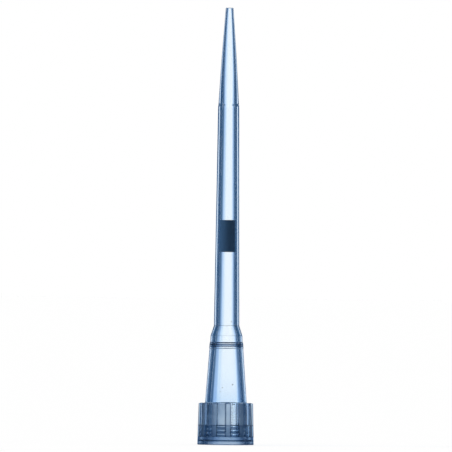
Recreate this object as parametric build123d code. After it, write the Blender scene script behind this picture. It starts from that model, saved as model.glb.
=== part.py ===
from build123d import *
import os

# Filter pipette tip: a clear moulded polypropylene tube that tapers from a ribbed collar to a fine
# point, with a porous barrier plug pressed into its barrel.
# Millimetres. The origin is the centre of the collar's open rim, and +Z runs up the axis to the point.

# Lengths along the axis, from the rim up
collar_height = 4.42
cone_length = 5.73
ring_band_length = 0.64
neck_length = 0.71
flare_length = 1.02
barrel_length = 23.14
shoulder_length = 0.10
point_length = 10.24

# Outside radii
rim_radius = 2.98
rim_chamfer = 0.03
collar_top_radius = 2.86
collar_top_drop = 0.12
cone_base_radius = 2.20
cone_top_radius = 1.78
ring_band_stand = 0.03
neck_base_radius = 1.71
neck_top_radius = 1.68
barrel_base_radius = 1.36
barrel_top_radius = 1.17
point_base_radius = 1.09
point_end_radius = 0.405
point_bulge = 0.045
flare_hollow = 0.025

# Fine grooves round the ring band, from the foot of the band up
groove_heights = (0.20, 0.41)
groove_width = 0.07
groove_depth = 0.04

# Collar between the ribs, and the ribs
rib_count = 12
rib_width = 0.53
rib_turn = 5.0
panel_base_radius = 2.62
panel_top_radius = 2.58
flange_height = 0.88
bead_count = 3
bead_pitch = 0.42
bead_stand = 0.10
bead_land = 0.20

# Inside radii and heights
mouth_radius = 2.15
mouth_chamfer = 0.06
lead_in_radii = (2.03, 1.88)
lead_in_tops = (0.38, 0.82)
lead_in_draft = 0.02
lead_in_chamfer = 0.11
seal_radius = 1.785
seal_length = 2.33
seal_step = 0.085
seal_step_length = 0.20
ledge_height = 0.30
ledge_radius = 1.275
neck_bore_base_radius = 1.25
neck_bore_top_radius = 1.19
barrel_bore_base_radius = 0.905
barrel_bore_top_radius = 0.685
point_bore_length = 9.80
point_bore_bulge = 0.07
orifice_radius = 0.25

# Barrier plug
plug_length = 3.37
plug_rise = 7.77
plug_clearance = 0.005

# Heights of the outside sections above the rim
cone_top = collar_height + cone_length
band_top = cone_top + ring_band_length
neck_top = band_top + neck_length
flare_top = neck_top + flare_length
barrel_top = flare_top + barrel_length
shoulder_top = barrel_top + shoulder_length
tip_end = shoulder_top + point_length
point_bore_base = tip_end - point_bore_length


def between(height, low, high):
    """Radius at a height on the straight taper from low to high, each a (radius, height) pair."""
    share = (height - low[1]) / (high[1] - low[1])
    return low[0] + share * (high[0] - low[0])


def turned(edges):
    """Solid of revolution about Z from a closed outline of (radius, height) edges."""
    return revolve(Plane.XZ * make_face(edges), axis=Axis.Z)


def bowed(start, end, stand):
    """Arc up the axis from start to end that stands out from its chord at the middle (in, if negative)."""
    return SagittaArc(start, end, -stand)


def band_radius(height):
    """Outside of the ring band, which stands off the cone's own taper carried on upwards."""
    cone_line = between(height, (cone_base_radius, collar_height), (cone_top_radius, cone_top))
    return cone_line + ring_band_stand


def barrel_bore_radius(height):
    """Barrel bore, which narrows evenly towards the point."""
    low = (barrel_bore_base_radius, flare_top)
    return between(height, low, (barrel_bore_top_radius, point_bore_base))


def socket_points():
    """The socket from the mouth up: two short lands that lead in, then the seal and the step over it."""
    points = [(mouth_radius, 0)]
    foot = mouth_chamfer
    for radius, top in zip(lead_in_radii, lead_in_tops):
        points.append((radius, foot))
        points.append((radius - lead_in_draft, top))
        foot = top + lead_in_chamfer
    seal_top = foot + seal_length
    points.append((seal_radius, foot))
    points.append((seal_radius, seal_top))
    points.append((seal_radius - seal_step, seal_top + seal_step_length))
    return points


def bore_edges():
    """The bore's outline from the mouth up to the orifice: socket, neck, barrel, point."""
    ledge = cone_top + ledge_height
    lower = Polyline(
        *socket_points(),
        (ledge_radius, ledge),
        (neck_bore_base_radius, ledge),
        (neck_bore_top_radius, neck_top),
        (barrel_bore_base_radius, flare_top),
        (barrel_bore_top_radius, point_bore_base),
    )
    point = bowed(lower @ 1, (orifice_radius, tip_end), point_bore_bulge)
    return lower, point


def collar_top_edge():
    """Where the collar's sloped top meets its side."""
    return collar_top_radius, collar_height - collar_top_drop


def panel_points():
    """Side of the collar between the ribs, from the flange up: flat-topped beads, then a plain panel."""
    low = (panel_base_radius, flange_height)
    high = (panel_top_radius, collar_height - collar_top_drop)
    points = [low]
    for bead in range(bead_count):
        middle = flange_height + (bead + 0.5) * bead_pitch
        for edge in (middle - bead_land / 2, middle + bead_land / 2):
            points.append((between(edge, low, high) + bead_stand, edge))
        foot = middle + bead_pitch / 2
        points.append((between(foot, low, high), foot))
    return [*points, high]


def band_points():
    """Outside of the ring band: lands that follow the cone's taper, parted by V grooves."""
    points = [(band_radius(cone_top), cone_top)]
    for groove in groove_heights:
        floor = cone_top + groove
        for edge, depth in ((-groove_width / 2, 0), (0, groove_depth), (groove_width / 2, 0)):
            points.append((band_radius(floor + edge) - depth, floor + edge))
    return [*points, (band_radius(band_top), band_top)]


def make_tip_body():
    """The moulded body: one revolved wall, with the ribs standing on its collar."""
    flange_radius = between(flange_height, (rim_radius, rim_chamfer), collar_top_edge())
    outer_low = Polyline(
        (mouth_radius, 0),
        (rim_radius - rim_chamfer, 0),
        (rim_radius, rim_chamfer),
        (flange_radius, flange_height),
        *panel_points(),
        (cone_base_radius, collar_height),
        (cone_top_radius, cone_top),
        *band_points(),
        (neck_base_radius, band_top),
        (neck_top_radius, neck_top),
    )
    flare = bowed(outer_low @ 1, (barrel_base_radius, flare_top), -flare_hollow)
    barrel = Polyline(
        flare @ 1,
        (barrel_top_radius, barrel_top),
        (point_base_radius, shoulder_top),
    )
    point = bowed(barrel @ 1, (point_end_radius, tip_end), point_bulge)
    end_face = Line(point @ 1, (orifice_radius, tip_end))
    wall = turned([outer_low, flare, barrel, point, end_face, *bore_edges()])

    crown = turned(
        Polyline(
            (cone_base_radius, rim_chamfer),
            (rim_radius, rim_chamfer),
            collar_top_edge(),
            (cone_base_radius, collar_height),
            close=True,
        )
    )
    rib_slab = Pos(rim_radius / 2, 0, collar_height / 2) * Box(rim_radius, rib_width, collar_height)
    for rib in range(rib_count):
        turn = rib_turn + rib * 360 / rib_count
        wall += crown & (Rot(0, 0, turn) * rib_slab)
    return wall


def make_filter_plug():
    """The porous plug, shaped by the barrel bore that it is pressed into."""
    low = flare_top + plug_rise
    high = low + plug_length
    return turned(
        Polyline(
            (0, low),
            (barrel_bore_radius(low) - plug_clearance, low),
            (barrel_bore_radius(high) - plug_clearance, high),
            (0, high),
            close=True,
        )
    )


os.makedirs("parts", exist_ok=True)
export_step(make_tip_body(), "parts/tip_body.step")
export_step(make_filter_plug(), "parts/filter_plug.step")
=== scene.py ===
import math

import bpy
import numpy as np
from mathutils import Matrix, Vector


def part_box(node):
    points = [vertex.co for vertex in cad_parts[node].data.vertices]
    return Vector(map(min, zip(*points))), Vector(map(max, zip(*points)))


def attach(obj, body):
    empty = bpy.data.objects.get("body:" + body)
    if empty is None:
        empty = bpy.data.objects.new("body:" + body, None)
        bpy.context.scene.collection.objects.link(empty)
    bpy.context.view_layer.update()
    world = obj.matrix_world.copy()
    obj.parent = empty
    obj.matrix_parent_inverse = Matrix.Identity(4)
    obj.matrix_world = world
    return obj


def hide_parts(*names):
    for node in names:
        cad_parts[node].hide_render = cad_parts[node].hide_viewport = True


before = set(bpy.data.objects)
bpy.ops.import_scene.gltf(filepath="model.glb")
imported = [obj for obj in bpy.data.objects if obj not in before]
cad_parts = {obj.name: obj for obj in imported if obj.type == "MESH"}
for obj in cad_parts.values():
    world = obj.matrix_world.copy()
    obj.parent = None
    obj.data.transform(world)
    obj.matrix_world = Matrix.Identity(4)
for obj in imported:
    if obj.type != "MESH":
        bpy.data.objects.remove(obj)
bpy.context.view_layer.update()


# ---- Moulded body ------------------------------------------------------------------------------
# One injection-moulded piece of clear polypropylene with a faint blue cast: a ribbed collar, a
# smooth cone, a ringed neck, a flare and a long barrel that draws down to the point. Its bore runs
# right through, so light bends in every wall and the sides of the tube look deep blue.

# Sizes here are in millimetres, and mm turns them into metres
mm = 0.001
body_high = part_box("tip_body")[1]
tip_end = body_high.z / mm
rim_radius = body_high.x / mm

# Even ribs, the first turned this many degrees, with their width measured at this radius
rib_count = 12
rib_turn = 5.0
rib_width = 0.53
rib_radius = 2.76

# The outline up the outside: radius between the ribs, radius on the ribs, height, corner size.
outside = np.array(
    [
        # Rim and flange
        (2.150, 2.150, 0.00, 0.05),
        (rim_radius - 0.03, rim_radius - 0.03, 0.00, 0.03),
        (rim_radius, rim_radius, 0.05, 0.05),
        (2.953, 2.953, 0.86, 0.02),
        # Three flat-topped beads between the ribs
        (2.620, 2.953, 0.88, 0.02),
        (2.715, 2.949, 1.05, 0.02),
        (2.715, 2.944, 1.20, 0.02),
        (2.615, 2.941, 1.34, 0.01),
        (2.712, 2.937, 1.47, 0.02),
        (2.712, 2.932, 1.62, 0.02),
        (2.610, 2.930, 1.76, 0.01),
        (2.707, 2.926, 1.90, 0.02),
        (2.707, 2.922, 2.03, 0.01),
        # Plain panels, and the top of the collar
        (2.604, 2.920, 2.10, 0.01),
        (2.580, 2.860, 4.36, 0.03),
        (2.570, 2.620, 4.42, 0.01),
        # Cone
        (2.200, 2.200, 4.44, 0.03),
        (1.782, 1.782, 10.13, 0.01),
        # Ring band with its two fine grooves
        (1.812, 1.812, 10.16, 0.01),
        (1.801, 1.801, 10.31, 0.01),
        (1.790, 1.790, 10.35, 0.01),
        (1.795, 1.795, 10.39, 0.01),
        (1.786, 1.786, 10.52, 0.01),
        (1.775, 1.775, 10.56, 0.01),
        (1.780, 1.780, 10.60, 0.01),
        (1.772, 1.772, 10.72, 0.01),
        # Neck, flare and barrel
        (1.708, 1.708, 10.80, 0.01),
        (1.680, 1.680, 11.50, 0.005),
        (1.340, 1.340, 12.53, 0.005),
        (1.122, 1.122, 35.55, 0.06),
        # Shoulder and point
        (1.078, 1.078, 35.90, 0.06),
        (0.925, 0.925, 38.50, 1.20),
        (0.775, 0.775, 41.00, 1.20),
        (0.580, 0.580, 43.60, 1.20),
        (0.405, 0.405, tip_end, 0.04),
    ]
)

# The bore from the orifice back down to the mouth, in the same four columns.
bore = np.array(
    [
        # Point and barrel
        (0.250, 0.250, tip_end, 0.02),
        (0.365, 0.365, 44.30, 1.00),
        (0.512, 0.512, 41.60, 1.20),
        (0.640, 0.640, 38.60, 1.20),
        (0.685, 0.685, 36.20, 0.80),
        (0.905, 0.905, 12.48, 0.01),
        # Neck, with the ledge under it
        (1.190, 1.190, 11.45, 0.01),
        (1.250, 1.250, 10.47, 0.04),
        (1.275, 1.275, 10.43, 0.04),
        # Seal, and the two short lands that lead in to it
        (1.755, 1.755, 3.50, 0.10),
        (1.785, 1.785, 3.20, 0.10),
        (1.785, 1.785, 0.93, 0.03),
        (1.860, 1.860, 0.82, 0.03),
        (1.880, 1.880, 0.49, 0.03),
        (2.010, 2.010, 0.38, 0.03),
        (2.030, 2.030, 0.06, 0.03),
    ]
)


def softened(outline):
    """Closed outline with its corners eased: each corner P becomes P + c((1-t)^2 back + t^2 on).

    back and on are unit vectors to the corners either side, c is the corner's own size and t runs
    from 0 to 1. A row is added just outside each end of a bend, 1.1 c from P, so that the straight
    runs stay straight. A corner of up to 0.06 mm keeps only its two ends and those outer rows.
    """
    outer, most_of_side, fine_corner, steps = 1.1, 0.45, 0.06, 5
    points, size = outline[:, :3], outline[:, 3:]
    back = np.roll(points, 1, axis=0) - points
    on = np.roll(points, -1, axis=0) - points
    back_length = np.linalg.norm(back, axis=1, keepdims=True)
    on_length = np.linalg.norm(on, axis=1, keepdims=True)
    shorter = np.minimum(back_length, on_length)
    t = np.linspace(0, 1, steps)
    toward = np.concatenate([[outer], (1 - t) ** 2, [0]])[None, :, None]
    away = np.concatenate([[0], t**2, [outer]])[None, :, None]
    back, on = (back / back_length)[:, None, :], (on / on_length)[:, None, :]
    reach = np.minimum(size, most_of_side * shorter)[:, None, :]
    rows = points[:, None, :] + reach * (toward * back + away * on)
    always_kept = np.isin(np.arange(steps + 2), (0, 1, steps, steps + 1))
    return rows[(size > fine_corner) | always_kept]


def filled(rows, longest):
    """The same closed rows with even extra ones wherever two lie further apart than longest.

    Row n of k between A and B is A + (n / k)(B - A), and k is the gap over longest, rounded up.
    """
    step = np.roll(rows, -1, axis=0) - rows
    parts = np.maximum(1, np.ceil(np.linalg.norm(step, axis=1) / longest)).astype(int)
    start = np.repeat(np.arange(len(rows)), parts)
    part = np.arange(parts.sum()) - np.repeat(np.cumsum(parts) - parts, parts)
    return rows[start] + step[start] * (part / parts[start])[:, None]


def closed_grid(name, points, marks, material):
    """Mesh object from a (rows, columns, 3) grid of points that closes on itself both ways.

    Each face joins a point, the next in its row, the one above that and the one above the first.
    marks gives named point attributes, each a (rows, columns) grid of numbers.
    """
    rows, columns = points.shape[:2]
    mesh = bpy.data.meshes.new(name)
    index = np.arange(rows * columns).reshape(rows, columns)
    beside = np.roll(index, -1, axis=1)
    above, above_beside = np.roll(index, -1, axis=0), np.roll(beside, -1, axis=0)
    quads = np.stack([index, beside, above_beside, above], axis=-1).reshape(-1, 4)
    mesh.vertices.add(rows * columns)
    mesh.vertices.foreach_set("co", points.reshape(-1))
    mesh.loops.add(quads.size)
    mesh.loops.foreach_set("vertex_index", quads.reshape(-1))
    mesh.polygons.add(len(quads))
    mesh.polygons.foreach_set("loop_start", np.arange(0, quads.size, 4))
    mesh.polygons.foreach_set("use_smooth", np.ones(len(quads), bool))
    mesh.update(calc_edges=True)
    for mark, values in marks.items():
        mesh.attributes.new(mark, "FLOAT", "POINT").data.foreach_set("value", values.reshape(-1))
    mesh.materials.append(material)
    piece = bpy.data.objects.new(name, mesh)
    bpy.context.scene.collection.objects.link(piece)
    return piece


def ramp(values, start, end):
    """(value - start) / (end - start), held between 0 and 1."""
    return np.clip((values - start) / (end - start), 0, 1)


# The turns of the grid's columns, in degrees from the middle of a rib. They crowd at its flank,
# which is square to the collar: the radius goes from one level to the other within 0.7 degrees.
rib_pitch = 360 / rib_count
half_rib = math.degrees(rib_width / 2 / rib_radius)
flank = 0.35
column_turns = np.concatenate(
    [
        [0, half_rib - 5.4 * flank],
        half_rib + flank * np.array([-4.4, -1.2, -1, -0.84, 0.84, 1, 1.2, 4.4]),
        [half_rib + 5.4 * flank, 8.1, 9.4, 12.0],
    ]
)
column_turns = np.concatenate([column_turns, rib_pitch - column_turns[:0:-1]])


def body_points():
    """Points of the moulded wall: radius = between + share (on - between), turned about Z.

    share is 1 across each rib, 0 across each panel, and goes evenly from one to the other over the
    rib's flank. With the points come the marks that its material reads, each from 0 to 1.
    """
    rows = filled(softened(np.vstack([outside, bore])), longest=2.4)
    turn = rib_turn + column_turns[None, :] + rib_pitch * np.arange(rib_count)[:, None]
    turn = np.radians(np.sort(turn.reshape(-1)))
    from_rib = (np.degrees(turn) - rib_turn + rib_pitch / 2) % rib_pitch - rib_pitch / 2
    share = ramp(np.abs(from_rib), half_rib + flank, half_rib - flank)
    stand = rows[:, 1:2] - rows[:, :1]
    radius = rows[:, :1] + stand * share[None, :]
    points = [radius * np.cos(turn), radius * np.sin(turn), rows[:, 2:] + 0 * turn]

    # Marks by turn, in degrees to the right of the front, on the rows where the ribs stand out
    from_front = (np.degrees(turn) + 90 + 180) % 360 - 180
    ribbed = ramp(stand, 0, 0.2)
    # Crests on the near half only: the material makes them rougher and greys them with painted
    # shade
    near_half = ramp(np.sin(turn), 0.25, -0.25)
    crest = ramp(share, 11 / 12, 1) * near_half

    # Painted dark lines of shade on both flanks of the front rib, and one beside the next rib on
    # the right: middle, half width
    painted_flank_lines = ((-0.6, 1.7), (10.7, 2.0), (26.6, 1.1))
    line = np.any([np.abs(from_front - middle) < half for middle, half in painted_flank_lines], axis=0)

    # The dull panel left of the front rib, duller above the seal's step, and the collar's two
    # sides. The material greys all three with painted shade, and makes the panel rougher.
    pad = ramp(from_front, -21, -19) * ramp(from_front, 1, 0) * (1 - share)
    pad = (0.7 + 0.3 * ramp(rows[:, 2:], 3.2, 3.3)) * pad[None, :]
    side = ramp(np.abs(from_front), 27, 29) * ramp(np.abs(from_front), 61, 59)

    # The outer skin goes round the point's outer corner and ends in the next row
    last_of_skin = np.argmax(rows[:, 2]) + 1
    skin = (np.arange(len(rows)) <= last_of_skin)[:, None] + 0.0 * turn
    marks = {
        "crest": ribbed * crest[None, :],
        "flank": ribbed * line[None, :],
        "pad": ribbed * pad,
        "side": ribbed * side[None, :],
        "skin": skin,
    }
    return mm * np.stack(points, axis=-1), marks


class Socket:
    """An output socket. + - * / on it add Math nodes, and node() adds a node of any other kind."""

    def __init__(self, tree, output=None):
        self.tree, self.output = tree, output

    def node(self, kind, settings=(), sockets=(), out=0):
        """Adds a node, sets its settings, then gives its sockets values or links."""
        made = self.tree.nodes.new("ShaderNode" + kind)
        for key, value in dict(settings).items():
            if key == "stops":
                stops = made.color_ramp.elements
                while len(stops) < len(value):
                    stops.new(1.0)
                for stop, (position, colour) in zip(stops, value):
                    stop.position, stop.color = position, (*colour, 1)
            else:
                setattr(made, key, value)
        for key, value in dict(sockets).items():
            if isinstance(value, Socket):
                self.tree.links.new(value.output, made.inputs[key])
            else:
                made.inputs[key].default_value = value
        return Socket(self.tree, made.outputs[out]) if made.outputs else made

    def maths(self, operation, *values):
        return self.node("Math", {"operation": operation}, dict(enumerate(values)))

    def __add__(self, other):
        return self.maths("ADD", self, other)

    def __radd__(self, other):
        return self.maths("ADD", other, self)

    def __sub__(self, other):
        return self.maths("SUBTRACT", self, other)

    def __rsub__(self, other):
        return self.maths("SUBTRACT", other, self)

    def __mul__(self, other):
        return self.maths("MULTIPLY", self, other)

    def __rmul__(self, other):
        return self.maths("MULTIPLY", other, self)

    def __truediv__(self, other):
        return self.maths("DIVIDE", self, other)

    def smooth(self, low, high):
        """0 below low, 1 above high, and an even ease between them."""
        return self.node(
            "MapRange",
            {"interpolation_type": "SMOOTHSTEP"},
            {"Value": self, "From Min": low, "From Max": high},
        )

    def axes(self):
        """The X, Y and Z of a vector."""
        return [self.node("SeparateXYZ", sockets={0: self}, out=axis) for axis in "XYZ"]

    def mix(self, factor, one, other):
        """Colour one + factor (other - one)."""
        return self.node("Mix", {"data_type": "RGBA"}, {0: factor, 6: one, 7: other}, out=2)


def new_material(name):
    """An empty material, and a Socket that adds nodes to it."""
    material = bpy.data.materials.new(name)
    material.use_nodes = True
    material.node_tree.nodes.clear()
    return material, Socket(material.node_tree)


clear, shade = new_material("clear_polypropylene")
x, y, z = shade.node("TexCoord", out="Object").axes()
across, near, height = x / mm, y * (-1 / mm), z / mm
crest, flank_shade_mark, pad, side, skin = (
    shade.node("Attribute", {"attribute_name": mark}, out="Fac")
    for mark in ("crest", "flank", "pad", "side", "skin")
)
above_flange = height.smooth(0.85, 0.90)
above_beads = height.smooth(1.95, 2.05)

# Colour by height, as a share of the whole length: partly the plastic's blue cast, partly painted
# shade. It is darker and bluer toward the collar, and deepest from the flange to the beads.
cast_and_painted_shade = shade.node(
    "ValToRGB",
    {
        "stops": [
            # Flange
            (0.0, (0.48, 0.63, 0.80)),
            (0.0085, (0.48, 0.63, 0.80)),
            (0.0105, (0.32, 0.48, 0.69)),
            (0.0195, (0.32, 0.48, 0.69)),
            # Beads
            (0.0205, (0.33, 0.49, 0.69)),
            (0.0420, (0.50, 0.70, 0.90)),
            # Plain panels
            (0.0440, (0.72, 0.87, 0.99)),
            (0.091, (0.72, 0.87, 0.99)),
            # Cone, and all above it
            (0.100, (0.62, 0.79, 0.96)),
            (0.124, (0.714, 0.846, 0.98)),
            (0.160, (0.774, 0.893, 0.99)),
            (0.230, (0.828, 0.92, 0.99)),
            (1.0, (0.828, 0.92, 0.99)),
        ]
    },
    {0: height / tip_end},
)

# Painted shade, grey-blue: on the near ribs' crests, the dull panel, and the collar's sides and
# outer edges
crest_painted_shade = crest * (0.66 - 0.28 * above_beads)
pad_painted_shade = 0.76 * pad
side_painted_shade = side * (0.5 - 0.2 * crest)
aside = shade.maths("ABSOLUTE", across)
edge_painted_shade = (
    0.35 * aside.smooth(2.2, 2.3) * (1.0 - above_flange)
    + 0.6 * aside.smooth(2.68, 2.76) * above_flange
)
painted_shade_blue = (0.07, 0.13, 0.22, 1)
cast_and_painted_shade = shade.mix(crest_painted_shade + pad_painted_shade + side_painted_shade + edge_painted_shade, cast_and_painted_shade, painted_shade_blue)

# Painted shade: thin dark lines round the wall, weaker on the far half, each from one height to
# another and this deep
painted_shade_rings = (
    # Top of the beads
    (1.98, 2.085, 0.9),
    # The ring band's two grooves, the land above them and its top edge
    (10.28, 10.41, 0.94),
    (10.49, 10.62, 0.98),
    (10.62, 10.70, 0.66),
    (10.70, 10.83, 0.98),
    # Both ends of the flare
    (11.45, 11.555, 0.18),
    (12.50, 12.605, 0.38),
)
ring_edge = 0.01
on_far_half = 0.3
ring = sum(
    depth
    * height.smooth(low, low + ring_edge)
    * (1.0 - height.smooth(high - ring_edge, high))
    for low, high, depth in painted_shade_rings
)
ring = ring * (near.smooth(-1.0, -0.2) * (1 - on_far_half) + on_far_half)


def spot(sideways, up):
    """1 within 0.04 mm of a place as seen from the front, and 0 past 0.10 mm of it."""
    sideways, up = across - sideways, height - up
    return 1.0 - shade.maths("SQRT", sideways * sideways + up * up).smooth(0.04, 0.10)


# Four specks in the near wall: distance to the right, height and depth
specks = ((0.68, 6.35, 0.9), (0.51, 12.98, 0.6), (-0.37, 6.03, 0.5), (-0.58, 5.61, 0.4))
speck = sum(depth * spot(sideways, up) for sideways, up, depth in specks)
speck = speck * near.smooth(0.4, 0.8)
# Painted dark lines of shade along the rib flanks. They, the painted rings and the real specks all
# take the same dark blue.
flank_painted_line = 0.9 * flank_shade_mark
painted_shade_and_speck_blue = (0.010, 0.034, 0.09, 1)
cast_and_painted_shade = shade.mix(ring + flank_painted_line + speck, cast_and_painted_shade, painted_shade_and_speck_blue)

# Only the outer skin has the cast and the painted shade, so light takes them up once in each wall
tint = shade.mix(skin, (1, 1, 1, 1), cast_and_painted_shade)

# The socket is faintly dull, more so at the flange and above the beads. The near ribs' crests and
# the dull panel are duller, and all the rest is polished.
in_socket = (1.0 - height.smooth(3.9, 4.6)) * (1.0 - skin)
socket_dullness = 0.10 + 0.15 * height.smooth(2.0, 2.2)
flange_dullness = 0.22 * (1.0 - height.smooth(0.85, 0.95))
dullness = (
    socket_dullness * in_socket
    + 0.45 * crest
    + 0.4 * pad
    + flange_dullness * in_socket
)
wall = shade.node(
    "BsdfPrincipled",
    sockets={
        "Base Color": tint,
        "Roughness": dullness,
        "IOR": 1.49,
        "Transmission Weight": 1.0,
    },
)

# The wall's own shadow is faint, because a clear tip lets nearly all the light through
faint_shadow = shade.node("BsdfTransparent", sockets={"Color": (0.93, 0.96, 0.99, 1)})
for_shadow = shade.node("LightPath", out="Is Shadow Ray")
finish = shade.node("MixShader", sockets={0: for_shadow, 1: wall, 2: faint_shadow})
shade.node("OutputMaterial", sockets={"Surface": finish})

body = closed_grid("moulded_body", *body_points(), clear)
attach(body, "root")
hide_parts("tip_body")


# ---- Barrier plug ------------------------------------------------------------------------------
# A plug of sintered polyethylene grains, dark blue, pressed into the barrel until it grips the
# wall. Its skin is dull and faintly grainy, and the clear wall magnifies it.

grain_size = 0.12 * mm
grain_stand = 0.03 * mm

porous, shade = new_material("porous_filter")
place = shade.node("TexCoord", out="Object")
grain = shade.node("TexVoronoi", {}, {"Vector": place, "Scale": 1 / grain_size}, out="Distance")
bump = shade.node("Bump", {}, {"Height": grain, "Strength": 0.4, "Distance": grain_stand})
# Dark blue, varying a little from grain to grain
plug_blue = shade.node(
    "ValToRGB",
    {"stops": [(0.0, (0.075, 0.155, 0.275)), (1.0, (0.045, 0.105, 0.20))]},
    {0: grain},
)
sintered = shade.node(
    "BsdfPrincipled",
    sockets={"Base Color": plug_blue, "Roughness": 0.8, "Specular IOR Level": 0.2, "Normal": bump},
)
shade.node("OutputMaterial", sockets={"Surface": sintered})

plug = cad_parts["filter_plug"]
plug.data.materials.clear()
plug.data.materials.append(porous)


# ---- Bench -------------------------------------------------------------------------------------
# A plain pale bench top that the tip stands on, wide enough to fill every view. It looks white,
# and it takes the tip's shadow.

bench_half = 4.0
bench_squares = 8
bench_drop = 0.01 * mm

bench_colour, shade = new_material("bench")
top = shade.node("BsdfDiffuse", sockets={"Color": (0.82, 0.82, 0.82, 1)})
glow = shade.node("Emission", sockets={"Color": (1, 1, 1, 1), "Strength": 0.44})
no_glow = shade.node("Emission", sockets={"Color": (0, 0, 0, 1), "Strength": 0.0})
in_sight = shade.node("LightPath", out="Is Camera Ray")
whitened = shade.node("MixShader", sockets={0: in_sight, 1: no_glow, 2: glow})
pale = shade.node("AddShader", sockets={0: top, 1: whitened})
shade.node("OutputMaterial", sockets={"Surface": pale})

# Flat squares, each from its first corner to the next in that row and the two in the row beyond
row = bench_squares + 1
steps = np.linspace(-bench_half, bench_half, row)
corners = np.stack(np.meshgrid(steps, steps, indexing="xy"), axis=-1).reshape(-1, 2)
corners = np.column_stack([corners, np.full(len(corners), -bench_drop)])
count = np.arange(bench_squares)
first = (count[:, None] * row + count[None, :]).reshape(-1)
squares = np.stack([first, first + 1, first + row + 1, first + row], axis=-1)
bench_mesh = bpy.data.meshes.new("bench")
bench_mesh.from_pydata(corners, [], squares)
bench_mesh.materials.append(bench_colour)
bench = bpy.data.objects.new("bench", bench_mesh)
bpy.context.scene.collection.objects.link(bench)
bench.visible_transmission = False
bench.visible_glossy = False


# ---- Studio light ------------------------------------------------------------------------------
# Plain soft light all round, and one broad lamp from the upper left. Light that the clear wall
# bends or mirrors comes from lit white panels between deep blue cloths: one straight behind the
# tip, four square to the bench just below level, and four more at its corners lower down.

studio = bpy.data.worlds.new("studio")
studio.use_nodes = True
studio.node_tree.nodes.clear()
bpy.context.scene.world = studio
shade = Socket(studio.node_tree)

# Where a ray looks, in degrees: round from the right by way of the back, and down from level
x, y, z = shade.node("TexCoord", out="Generated").axes()
azimuth = shade.maths("ARCTAN2", y, x) * (180 / math.pi)
fall = shade.maths("ARCSINE", z) * (-180 / math.pi)

# Degrees from the middle of the panel behind, which closes in to a rounded top above panel_top
widest = 60.0
panel_azimuth = 87.5
panel_top, closing = 3.2, 2.5
aside = shade.maths("MINIMUM", shade.maths("ABSOLUTE", azimuth - panel_azimuth), widest)
over_top = shade.maths("MAXIMUM", fall * -closing - closing * panel_top, 0.0)
from_back_panel = shade.maths("SQRT", aside * aside + over_top * over_top)

# Degrees from the nearest of the four square panels, and at most halfway between two of them.
# Further down, plain cloth comes first, and then four panels at the bench's corners.
halfway = 45.0
from_square_panel = shade.maths("PINGPONG", azimuth + (90 - panel_azimuth), halfway)
square_panels = fall.smooth(1.7, 2.2)
all_cloth = fall.smooth(6.2, 6.7)
corner_panels = fall.smooth(9.5, 10.5)
from_panel = (
    from_back_panel
    + (from_square_panel - from_back_panel) * square_panels
    + (halfway - from_square_panel) * all_cloth
    - from_square_panel * corner_panels
)
panel = shade.node(
    "ValToRGB",
    {
        "stops": [
            (0.0, (1.0, 1.0, 1.0)),
            (5 / widest, (0.98, 0.99, 1.0)),
            (7.4 / widest, (0.82, 0.90, 0.98)),
            (9.1 / widest, (0.72, 0.84, 0.96)),
            (12 / widest, (0.48, 0.63, 0.87)),
            (16.3 / widest, (0.255, 0.375, 0.58)),
            (19 / widest, (0.136, 0.225, 0.36)),
            (23 / widest, (0.070, 0.135, 0.235)),
            (31 / widest, (0.055, 0.118, 0.215)),
            (40 / widest, (0.032, 0.08, 0.165)),
        ],
    },
    {0: from_panel / widest},
)

# A first reflection off the outside also sees a lit sweep, to the left of the panel behind
bends = shade.node("LightPath", out="Is Transmission Ray")
shines = shade.node("LightPath", out="Is Glossy Ray")
bounces = shade.node("LightPath", out="Ray Depth")
mirrored = shines * (1.0 - bends) * (1.0 - bounces.smooth(1.2, 1.8))
sweep = mirrored * (1.0 - from_back_panel.smooth(42.0, 58.0)) * azimuth.smooth(85.0, 90.0)
surround = shade.mix(sweep, panel, (0.9, 0.95, 1, 1))

# White in sight, the surround for what is bent or mirrored, and plain soft light for all the rest
in_sight = shade.node("LightPath", out="Is Camera Ray")
scattered = shade.maths("MINIMUM", shade.node("LightPath", out="Diffuse Depth"), 1.0)
through_clear = shade.maths("MAXIMUM", bends, shines) * (1.0 - scattered)
plain = shade.node("Background", sockets={"Color": (1, 1, 1, 1), "Strength": 0.3})
white = shade.node("Background", sockets={"Color": (1, 1, 1, 1), "Strength": 1.0})
panels = shade.node("Background", sockets={"Color": surround, "Strength": 1.15})
light = shade.node("MixShader", sockets={0: through_clear, 1: plain, 2: panels})
sky = shade.node("MixShader", sockets={0: in_sight, 1: light, 2: white})
shade.node("OutputWorld", sockets={"Surface": sky})

toward_lamp = Vector((-0.40, -0.06, 0.26))
lamp = bpy.data.lights.new("key", "SUN")
lamp.angle = math.radians(25)
lamp.energy = 2.2
key_lamp = bpy.data.objects.new("key", lamp)
key_lamp.rotation_euler = toward_lamp.to_track_quat("Z", "Y").to_euler()
key_lamp.visible_transmission = False
key_lamp.visible_glossy = False
bpy.context.scene.collection.objects.link(key_lamp)


# ---- Camera ------------------------------------------------------------------------------------
# A long lens level with the middle of the tip, a hair off square, so that the point leans right.

view_height = 47.58 * mm
view_middle = (-0.164 * mm, 23.03 * mm)
lean = -0.55
camera_data = bpy.data.cameras.new("camera")
camera_data.sensor_width = 36
camera_data.lens = 1500
camera_data.clip_end = 8
distance = view_height / 2 / (camera_data.sensor_width / 2 / camera_data.lens)
camera = bpy.data.objects.new("camera", camera_data)
camera.location = (view_middle[0], -distance, view_middle[1])
camera.rotation_euler = (math.radians(90), math.radians(lean), 0)
bpy.context.scene.collection.objects.link(camera)
bpy.context.scene.camera = camera

bpy.context.scene.view_settings.view_transform = "Standard"
